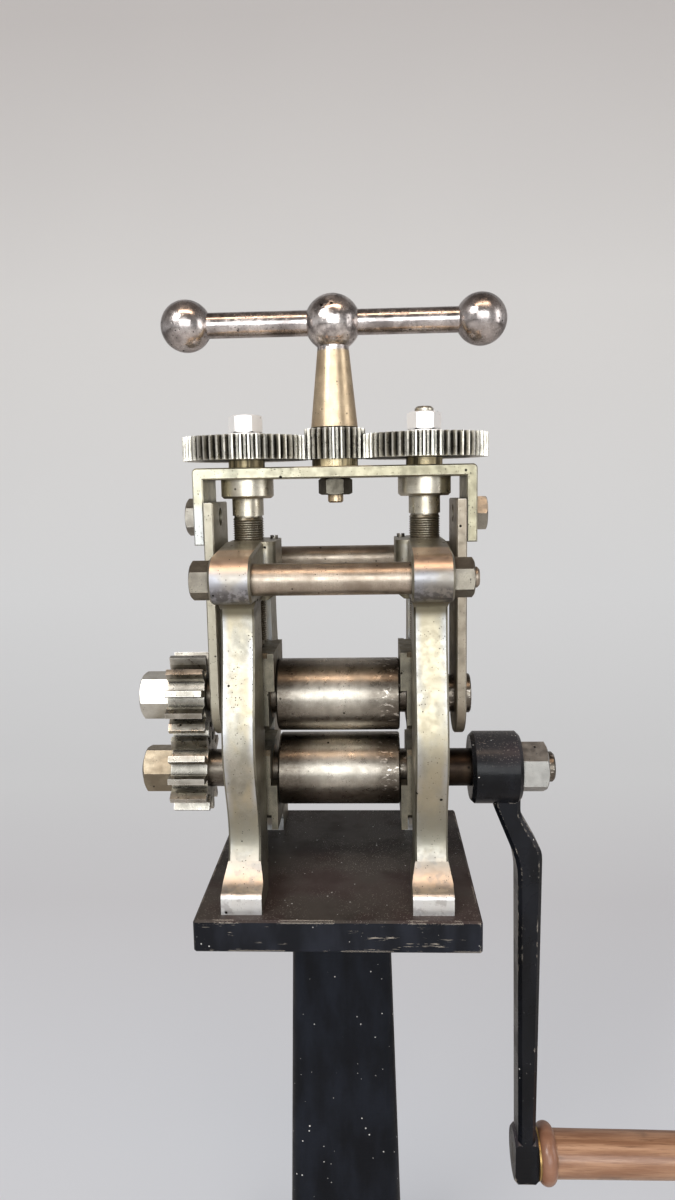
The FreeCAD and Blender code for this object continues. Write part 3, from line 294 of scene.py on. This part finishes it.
def sided_plating(name, left_tone, arm_tone, right_tone, smooth, dull):
    """Plating that goes from one tone on the gear side to another on the crank side: painted light on the
    gear side fading to painted shade on the crank side.
    """
    finish = old_metal(name, left_tone, right_tone, smooth, dull)
    # Painted light and shade: lighter on the gear side, darker on the crank side
    light_to_shade_across = finish.between(finish.coordinate("X"), -0.075, 0.045)
    arm = finish.times(finish.between(finish.coordinate("Z"), *BRIDGE_ARM_TOP), 0.85)
    shaded = tuple(0.62 * part for part in left_tone)
    left = finish.mix(finish.between(finish.grain(75.0, detail=6.0), 0.45, 0.70), left_tone, shaded)
    right = finish.mix(finish.between(finish.grain(90.0, detail=6.0), 0.40, 0.70), right_tone,
                       tuple(0.7 * part for part in right_tone))
    left = finish.mix(arm, left, arm_tone)
    tone = finish.mix(light_to_shade_across, left, right)
    tone = finish.mix(finish.times(finish.edges(0.0012), 0.5), tone, (0.74, 0.73, 0.68))
    tone = finish.mix(finish.pits, tone, PIT_COLOUR)
    # Painted shade in corners and gaps
    tone = finish.mix(finish.times(finish.hollows(0.004), 0.85), tone, HOLLOW_SHADE_COLOUR)
    finish.colour(tone)
    return finish.material


def turned_steel(name, light, dark, smooth, dull, axis="X", **more):
    """Steel with the fine rings that a lathe or grinder leaves round one axis."""
    finish = old_metal(name, light, dark, smooth, dull, **more)
    along = {"X": (1.0, 0.02, 0.02), "Z": (0.02, 0.02, 1.0)}[axis]
    rings = finish.grain(2600.0, along, detail=2.0)
    tone = finish.mix(finish.between(rings, 0.35, 0.7, 0.30, 0.0), finish.tone, dark)
    finish.colour(tone)
    finish.relief(rings, 0.000010)
    finish.tone = tone
    return finish


def roll_steel():
    """Ground rolls: a painted highlight in the middle that fades to painted shade towards both ends, which
    are also clouded and speckled dark, and painted glints near the right end.
    """
    finish = turned_steel("roll_steel", (0.66, 0.61, 0.53), (0.36, 0.33, 0.28), 0.26, 0.38, pit_share=0.15)
    along = finish.coordinate("X")
    # Painted highlight in the middle of each roll, falling off to painted shade at the ends
    wander = finish.times(finish.plus(finish.grain(50.0, detail=5.0), -0.5), 0.03)
    from_middle = finish.maths("ABSOLUTE", finish.plus(along, wander))
    highlight_falloff = finish.between(from_middle, 0.004, 0.034, 0.0, 0.92)
    finish.tone = finish.mix(highlight_falloff, finish.tone, (0.15, 0.13, 0.105))
    end = finish.between(from_middle, 0.020, 0.032)
    speckle = finish.between(finish.grain(700.0, (0.6, 1.0, 1.0), detail=6.0, rough=0.7), 0.42, 0.58)
    tone = finish.mix(finish.times(end, finish.times(speckle, 0.8)), finish.tone, (0.13, 0.11, 0.09))
    # Painted glints near the right end
    glints = finish.between(finish.grain(420.0, (0.5, 1.0, 1.0), detail=6.0), 0.57, 0.66)
    right_end_glints = finish.times(finish.between(along, 0.022, 0.032), glints)
    tone = finish.mix(finish.times(right_end_glints, 0.8), tone, (0.80, 0.74, 0.66))
    near_middle = finish.between(finish.maths("ABSOLUTE", finish.plus(along, -0.004)), 0.003, 0.001)
    ring = finish.times(near_middle, finish.specks(1300.0, 0.6, 0.4))
    tone = finish.mix(finish.times(ring, 0.8), tone, PIT_COLOUR)
    finish.colour(tone)
    return finish.material


def gear_steel(name, light, dark, hub_below=0.0):
    """Cut teeth: bright rubbed crests, with strong painted shade in the gaps. The hub below a height stays
    clean.
    """
    finish = old_metal(name, light, dark, 0.24, 0.40, pit_share=0.2, grime=0.007, shade_strength=1.0,
                       worn=(0.92, 0.90, 0.84))
    hub = finish.between(finish.coordinate("Z"), hub_below + 0.0002, hub_below - 0.0002)
    brushed = finish.mix(finish.between(finish.grain(170.0, (1.0, 1.0, 0.05)), 0.42, 0.56),
                         (0.78, 0.66, 0.42), (0.16, 0.13, 0.08))
    finish.colour(finish.mix(hub, finish.tone, brushed))
    return finish.material


def column_steel():
    """A satin gold tinted column, with a polished ball on top."""
    finish = turned_steel("column_steel", (0.86, 0.70, 0.48), (0.60, 0.46, 0.30), 0.32, 0.46, "Z",
                          pit_share=0.6, pit_scale=520.0)
    ball = finish.between(finish.coordinate("Z"), *HANDLE_BALL_BOTTOM)
    tarnish = finish.between(finish.grain(120.0), 0.4, 0.65)
    bright = finish.mix(tarnish, (0.86, 0.79, 0.75), (0.30, 0.27, 0.26))
    bright = finish.mix(finish.pits, bright, PIT_COLOUR)
    finish.colour(finish.mix(ball, finish.tone, bright))
    rough = finish.between(finish.grain(300.0), 0.35, 0.7, 0.14, 0.34)
    matt = finish.between(finish.grain(220.0, detail=5.0), 0.3, 0.7, 0.30, 0.42)
    turned = finish.times(finish.maths("SUBTRACT", 1.0, ball), matt)
    finish.roughness(finish.plus(finish.times(ball, rough), turned))
    return finish.material


def black_paint(name, top_tone, front_tone, chip_scale, edge_wear, scratches, gloss, shine=0.14):
    """Old brushed paint: dusty on top, chipped pale along the edges and scratched along the grain."""
    finish = Finish(name, front_tone, gloss, metal=0.0, Specular_IOR_Level=shine)
    upward = finish.between(finish.facing("Z"), 0.12, 0.85)
    clouds = finish.between(finish.grain(28.0, detail=6.0), 0.4, 0.65)
    worn_top = finish.mix(clouds, top_tone, tuple(0.6 * part for part in top_tone))
    side = finish.mix(finish.between(finish.grain(60.0, (1.0, 1.0, 0.3)), 0.35, 0.7), front_tone,
                      tuple(2.6 * part for part in front_tone))
    tone = finish.mix(upward, side, worn_top)
    purple = finish.times(upward, finish.between(finish.grain(14.0, detail=3.0), 0.48, 0.62))
    purple_tone = tuple(part * share for part, share in zip(top_tone, (1.25, 0.9, 1.05)))
    tone = finish.mix(finish.times(purple, 0.4), tone, purple_tone)
    dust = finish.times(finish.specks(1250.0, 0.45, 0.42), finish.between(finish.grain(22.0), 0.34, 0.60))
    tone = finish.mix(finish.times(finish.times(dust, upward), 0.75), tone, (0.34, 0.31, 0.28))
    ragged = finish.grain(chip_scale, detail=6.0, rough=0.65)
    stretches = finish.between(finish.grain(38.0, detail=5.0), 0.40, 0.62, 0.35, 1.25)
    edge = finish.times(finish.times(finish.edges(0.0026, 0.004, 0.14), stretches), edge_wear)
    chipped = finish.between(finish.times(edge, ragged), 0.38, 0.41)
    streak = finish.grain(420.0, (0.10, 0.10, 1.0), detail=5.0, rough=0.7)
    scratched_area = finish.between(finish.grain(22.0), 0.45, 0.58)
    scratch = finish.times(finish.between(streak, 0.625, 0.645), scratched_area)
    scratch = finish.times(finish.times(scratch, scratches), finish.maths("SUBTRACT", 1.0, upward))
    bare = finish.most(chipped, finish.times(scratch, 0.7))
    tone = finish.mix(bare, tone, (0.52, 0.47, 0.40))
    spots = finish.most(finish.specks(170.0, 0.07, 0.11), finish.specks(420.0, 0.07, 0.24))
    tone = finish.mix(finish.times(spots, 0.9), tone, (0.72, 0.72, 0.70))
    finish.colour(tone)
    level = finish.between(clouds, 0.0, 1.0, gloss, gloss + 0.14)
    finish.roughness(finish.most(level, finish.times(bare, 0.8)))
    finish.relief(bare, -0.0002)
    finish.relief(finish.grain(240.0, (0.15, 0.15, 1.0), detail=4.0), 0.00018)
    return finish.material


def grip_wood():
    """Varnished turned wood: orange brown with dark lengthwise streaks, and a redder bead."""
    finish = Finish("grip_wood", (0.40, 0.2, 0.1), 0.36, metal=0.0, Coat_Weight=0.45, Coat_Roughness=0.22)
    streak = finish.grain(260.0, (0.07, 1.0, 1.0), detail=6.0, rough=0.6)
    fine = finish.grain(1300.0, (0.04, 1.0, 1.0), detail=3.0)
    tone = finish.mix(finish.between(streak, 0.35, 0.62), (0.43, 0.245, 0.145), (0.26, 0.125, 0.065))
    tone = finish.mix(finish.between(fine, 0.56, 0.72, 0.0, 0.6), tone, (0.13, 0.055, 0.025))
    smudge = finish.between(finish.grain(38.0, (0.6, 1.0, 1.0), detail=5.0), 0.52, 0.68)
    tone = finish.mix(finish.times(smudge, 0.6), tone, (0.12, 0.065, 0.04))
    bead = finish.between(finish.coordinate("X"), *(GRIP_LOW.x + reach for reach in BEAD_FADE))
    tone = finish.mix(finish.times(bead, 0.75), tone, (0.27, 0.125, 0.075))
    # Painted shade in the grip's hollows
    hollow_shade = finish.hollows(0.004)
    tone = finish.mix(finish.times(hollow_shade, 0.7), tone, (0.05, 0.025, 0.015))
    finish.colour(tone)
    finish.roughness(finish.between(streak, 0.3, 0.7, 0.32, 0.5))
    finish.relief(fine, 0.00006)
    return finish.material


def dress(finish, *names):
    for name in names:
        nodes[name].material_slots[0].material = finish


def dress_stand():
    """The pedestal, its board and the bolts under it."""
    board = black_paint("board_paint", (0.058, 0.050, 0.044), (0.006, 0.007, 0.010), 420.0, 1.0, 1.0, 0.40)
    post = black_paint("post_paint", (0.020, 0.020, 0.022), (0.0035, 0.0045, 0.007), 300.0, 0.55, 0.0, 0.34)
    dress(board, "base_board")
    dress(post, "pedestal_post", "foot_board")
    dark = old_metal("dull_steel", (0.30, 0.28, 0.25), (0.14, 0.13, 0.12), 0.40, 0.60)
    dress(dark.material, "foot_screws", "frame_bolts", "frame_bolt_washers", "grip_spindle", "pinion_pin")
    dress(dark.material, "lower_gear_key", "upper_gear_key", "crank_key", "left_screw_key", "right_screw_key")


def dress_frames():
    """Side frames, tie rods, chocks, bridge and straps."""
    dress(frame_plating(), "left_side_frame", "right_side_frame")
    bridge = sided_plating("bridge_plating", (0.68, 0.65, 0.50), (0.66, 0.68, 0.68), (0.41, 0.38, 0.27),
                           0.38, 0.54)
    dress(bridge, "bridge")
    strap = sided_plating("strap_plating", (0.50, 0.46, 0.36), (0.48, 0.45, 0.36), (0.38, 0.33, 0.26),
                          0.40, 0.58)
    dress(strap, "left_lift_strap", "right_lift_strap")
    rod = turned_steel("rod_steel", (0.60, 0.52, 0.43), (0.34, 0.28, 0.22), 0.30, 0.46)
    dress(rod.material, "front_tie_rod", "rear_tie_rod")
    # Nuts of one steel in different tones, as painted light and shade: near white on the upper gear nut, dark
    # on the handle nut
    for name, light, dark, part_name in (
        ("tie_nut_steel", (0.36, 0.33, 0.27), (0.20, 0.18, 0.15), "tie_rod_nuts"),
        ("crank_nut_steel", (0.62, 0.62, 0.59), (0.42, 0.42, 0.40), "crank_nut"),
        ("upper_nut_steel", (0.90, 0.89, 0.82), (0.62, 0.60, 0.54), "upper_gear_nut"),
        ("lower_nut_steel", (0.42, 0.37, 0.28), (0.25, 0.21, 0.15), "lower_gear_nut"),
        ("centre_nut_steel", (0.19, 0.175, 0.14), (0.10, 0.09, 0.07), "handle_nut"),
    ):
        dress(old_metal(name, light, dark, 0.34, 0.52).material, part_name)
    bolt = old_metal("bolt_steel", (0.46, 0.43, 0.37), (0.25, 0.23, 0.20), 0.34, 0.52)
    dress(bolt.material, "strap_bolts", "oil_hole_plugs")
    chock = old_metal("chock_iron", (0.34, 0.31, 0.24), (0.16, 0.15, 0.12), 0.42, 0.62)
    dress(chock.material, "lower_left_chock", "lower_right_chock", "upper_left_chock", "upper_right_chock")
    bronze = turned_steel("bush_bronze", (0.55, 0.38, 0.17), (0.30, 0.20, 0.09), 0.34, 0.5)
    dress(bronze.material, "lower_roll_bushes", "upper_roll_bushes")


def dress_rolls():
    """Rolls, their gears, the cap, the crank and the grip."""
    dress(roll_steel(), "lower_roll", "upper_roll", "upper_roll_cap")
    # Painted shade: the crank spacer is painted near black for the shade it sits in
    shaded_spacer = turned_steel("spacer_steel", (0.060, 0.042, 0.028), (0.025, 0.018, 0.014), 0.34, 0.5)
    dress(shaded_spacer.material, "crank_spacer")
    roll_gear = gear_steel("roll_gear_steel", (0.60, 0.57, 0.50), (0.30, 0.28, 0.24))
    dress(roll_gear, "lower_roll_gear", "upper_roll_gear")
    paint = black_paint("crank_paint", (0.045, 0.045, 0.050), (0.003, 0.0035, 0.005), 260.0, 0.62, 0.0, 0.26,
                        shine=0.22)
    dress(paint, "crank_arm")
    brass = turned_steel("washer_brass", (0.66, 0.45, 0.18), (0.38, 0.25, 0.10), 0.28, 0.45)
    dress(brass.material, "grip_washer")
    dress(grip_wood(), "crank_grip")


def dress_screws():
    """Pressure screws, their gears and nuts, and the T-handle."""
    screw = turned_steel("screw_steel", (0.90, 0.86, 0.74), (0.52, 0.47, 0.37), 0.26, 0.40, "Z", grime=0.003)
    thread = screw.between(screw.coordinate("Z"), *THREAD_TOP)
    tone = screw.mix(screw.times(thread, 0.66), screw.tone, (0.16, 0.13, 0.09))
    # Painted highlight: warm bright crests on the thread
    screw.colour(screw.mix(screw.times(thread, screw.edges(0.0002, 0.02, 0.2)), tone, (0.95, 0.86, 0.68)))
    dress(screw.material, "left_pressure_screw", "right_pressure_screw")
    dress(gear_steel("gear_steel", (0.92, 0.88, 0.76), (0.50, 0.47, 0.40), SCREW_GEAR_HUB_TOP),
          "left_screw_gear", "right_screw_gear", "handle_pinion")
    # Painted highlight: the top nuts and washers are painted near white
    bright = old_metal("bright_nut", (0.97, 0.97, 0.97), (0.90, 0.90, 0.90), 0.36, 0.48, pit_share=0.03,
                       metal=0.25)
    dress(bright.material, "left_top_nut", "right_top_nut", "left_top_washer", "right_top_washer")
    dress(column_steel(), "handle_column")
    polished = old_metal("polished_steel", (0.84, 0.77, 0.74), (0.28, 0.25, 0.24), 0.13, 0.32, pit_share=0.8,
                         pit_scale=480.0)
    dress(polished.material, "handle_bar", "left_handle_ball", "right_handle_ball")


def make_camera():
    """The photograph's viewpoint, with no shift."""
    forward = Vector((-math.sin(YAW) * math.cos(PITCH), math.cos(YAW) * math.cos(PITCH), -math.sin(PITCH)))
    level = Vector((math.cos(YAW), math.sin(YAW), 0.0))
    upright = level.cross(forward)
    right = math.cos(ROLL) * level + math.sin(ROLL) * upright
    up = right.cross(forward)
    data = bpy.data.cameras.new("camera")
    data.sensor_width = SENSOR
    data.lens = FOCAL_PIXELS * SENSOR / PHOTO_HEIGHT
    data.clip_start = 0.01
    data.clip_end = 50.0
    camera = bpy.data.objects.new("camera", data)
    camera.matrix_world = Matrix.Translation(EYE) @ Matrix((right, up, -forward)).transposed().to_4x4()
    bpy.context.scene.collection.objects.link(camera)
    bpy.context.scene.camera = camera


def make_lamp(name, place, target, width, height, power, colour=(1.0, 1.0, 1.0)):
    data = bpy.data.lights.new(name, "AREA")
    data.shape = "RECTANGLE"
    data.size = width
    data.size_y = height
    data.energy = power
    data.color = colour
    lamp = bpy.data.objects.new(name, data)
    lamp.location = place
    lamp.rotation_euler = (Vector(target) - Vector(place)).to_track_quat("-Z", "Y").to_euler()
    bpy.context.scene.collection.objects.link(lamp)


def make_lamps():
    """A large window behind the camera, a key from the upper left, a warm strip above and a weak fill."""
    middle = (0.0, 0.0, 0.56)
    make_lamp("window", (0.2, -2.6, 1.0), middle, 2.2, 1.3, 34.0, (0.95, 0.98, 1.0))
    make_lamp("key", (-1.3, -1.7, 2.0), middle, 1.0, 1.0, 30.0)
    make_lamp("warm_strip", (0.1, -0.9, 2.2), middle, 1.6, 0.35, 10.0, (1.0, 0.72, 0.52))
    make_lamp("fill", (2.0, -0.6, 0.9), middle, 0.8, 1.4, 7.0)


def make_world():
    """A soft room: pale at the level of the object, and darker above."""
    world = bpy.data.worlds.new("room")
    bpy.context.scene.world = world
    world.use_nodes = True
    tree = world.node_tree
    background = tree.nodes["Background"]
    split = tree.nodes.new("ShaderNodeSeparateXYZ")
    ramp = tree.nodes.new("ShaderNodeValToRGB")
    spread = tree.nodes.new("ShaderNodeMapRange")
    spread.inputs["From Min"].default_value = -1.0
    tree.links.new(tree.nodes.new("ShaderNodeTexCoord").outputs["Generated"], split.inputs[0])
    tree.links.new(split.outputs["Z"], spread.inputs["Value"])
    tree.links.new(spread.outputs[0], ramp.inputs[0])
    tree.links.new(ramp.outputs[0], background.inputs["Color"])
    stops = ((0.0, (0.30, 0.30, 0.30)), (0.5, (0.62, 0.62, 0.63)), (0.72, (0.30, 0.28, 0.27)),
             (0.93, (0.15, 0.13, 0.12)))
    while len(ramp.color_ramp.elements) < len(stops):
        ramp.color_ramp.elements.new(0.5)
    for element, (position, colour) in zip(ramp.color_ramp.elements, stops):
        element.position = position
        element.color = (*colour, 1.0)
    background.inputs["Strength"].default_value = 0.85


def glow_where_seen(paper):
    """Adds, for the camera only, the soft brightness of the room's wall, and keeps part of the shadow."""
    tree = paper.tree
    run = paper.plus(paper.coordinate("Y"), paper.coordinate("Z"))
    ramp = tree.nodes.new("ShaderNodeValToRGB")
    tree.links.new(paper.times(run, 1.0 / BACKDROP_TONES[-1][0]), ramp.inputs[0])
    while len(ramp.color_ramp.elements) < len(BACKDROP_TONES):
        ramp.color_ramp.elements.new(0.5)
    for element, (distance, colour) in zip(ramp.color_ramp.elements, BACKDROP_TONES):
        element.position = distance / BACKDROP_TONES[-1][0]
        element.color = (*colour, 1.0)
    glow = tree.nodes.new("ShaderNodeEmission")
    tree.links.new(ramp.outputs[0], glow.inputs["Color"])
    blend = tree.nodes.new("ShaderNodeMixShader")
    seen = tree.nodes.new("ShaderNodeLightPath").outputs["Is Camera Ray"]
    tree.links.new(paper.times(seen, GLOW_SHARE), blend.inputs[0])
    output = next(node for node in tree.nodes if node.type == "OUTPUT_MATERIAL")
    tree.links.new(paper.shader.outputs[0], blend.inputs[1])
    tree.links.new(glow.outputs[0], blend.inputs[2])
    tree.links.new(blend.outputs[0], output.inputs[0])


def make_backdrop():
    """A pale floor that curves up into a wall behind."""
    half_width, front, bend_start, radius, top = 5.0, -4.0, 1.4, 1.6, 5.0
    steps = 24
    outline = [(front, 0.0), (bend_start, 0.0)]
    for step in range(1, steps + 1):
        angle = 0.5 * math.pi * step / steps
        outline.append((bend_start + radius * math.sin(angle), radius * (1.0 - math.cos(angle))))
    outline.append((bend_start + radius, top))
    vertices = [(x, y, z) for y, z in outline for x in (-half_width, half_width)]
    faces = [(2 * i, 2 * i + 1, 2 * i + 3, 2 * i + 2) for i in range(len(outline) - 1)]
    mesh = bpy.data.meshes.new("backdrop")
    mesh.from_pydata(vertices, [], faces)
    mesh.shade_smooth()
    backdrop = bpy.data.objects.new("backdrop", mesh)
    bpy.context.scene.collection.objects.link(backdrop)
    paper = Finish("backdrop_paper", (0.66, 0.655, 0.65), 0.9, metal=0.0)
    clouds = paper.between(paper.grain(0.8, detail=2.0), 0.3, 0.7)
    paper.colour(paper.mix(clouds, (0.64, 0.635, 0.635), (0.69, 0.685, 0.68)))
    glow_where_seen(paper)
    mesh.materials.append(paper.material)


dress_stand()
dress_frames()
dress_rolls()
dress_screws()
make_camera()
make_lamps()
make_world()
make_backdrop()
bpy.context.scene.view_settings.view_transform = "Standard"
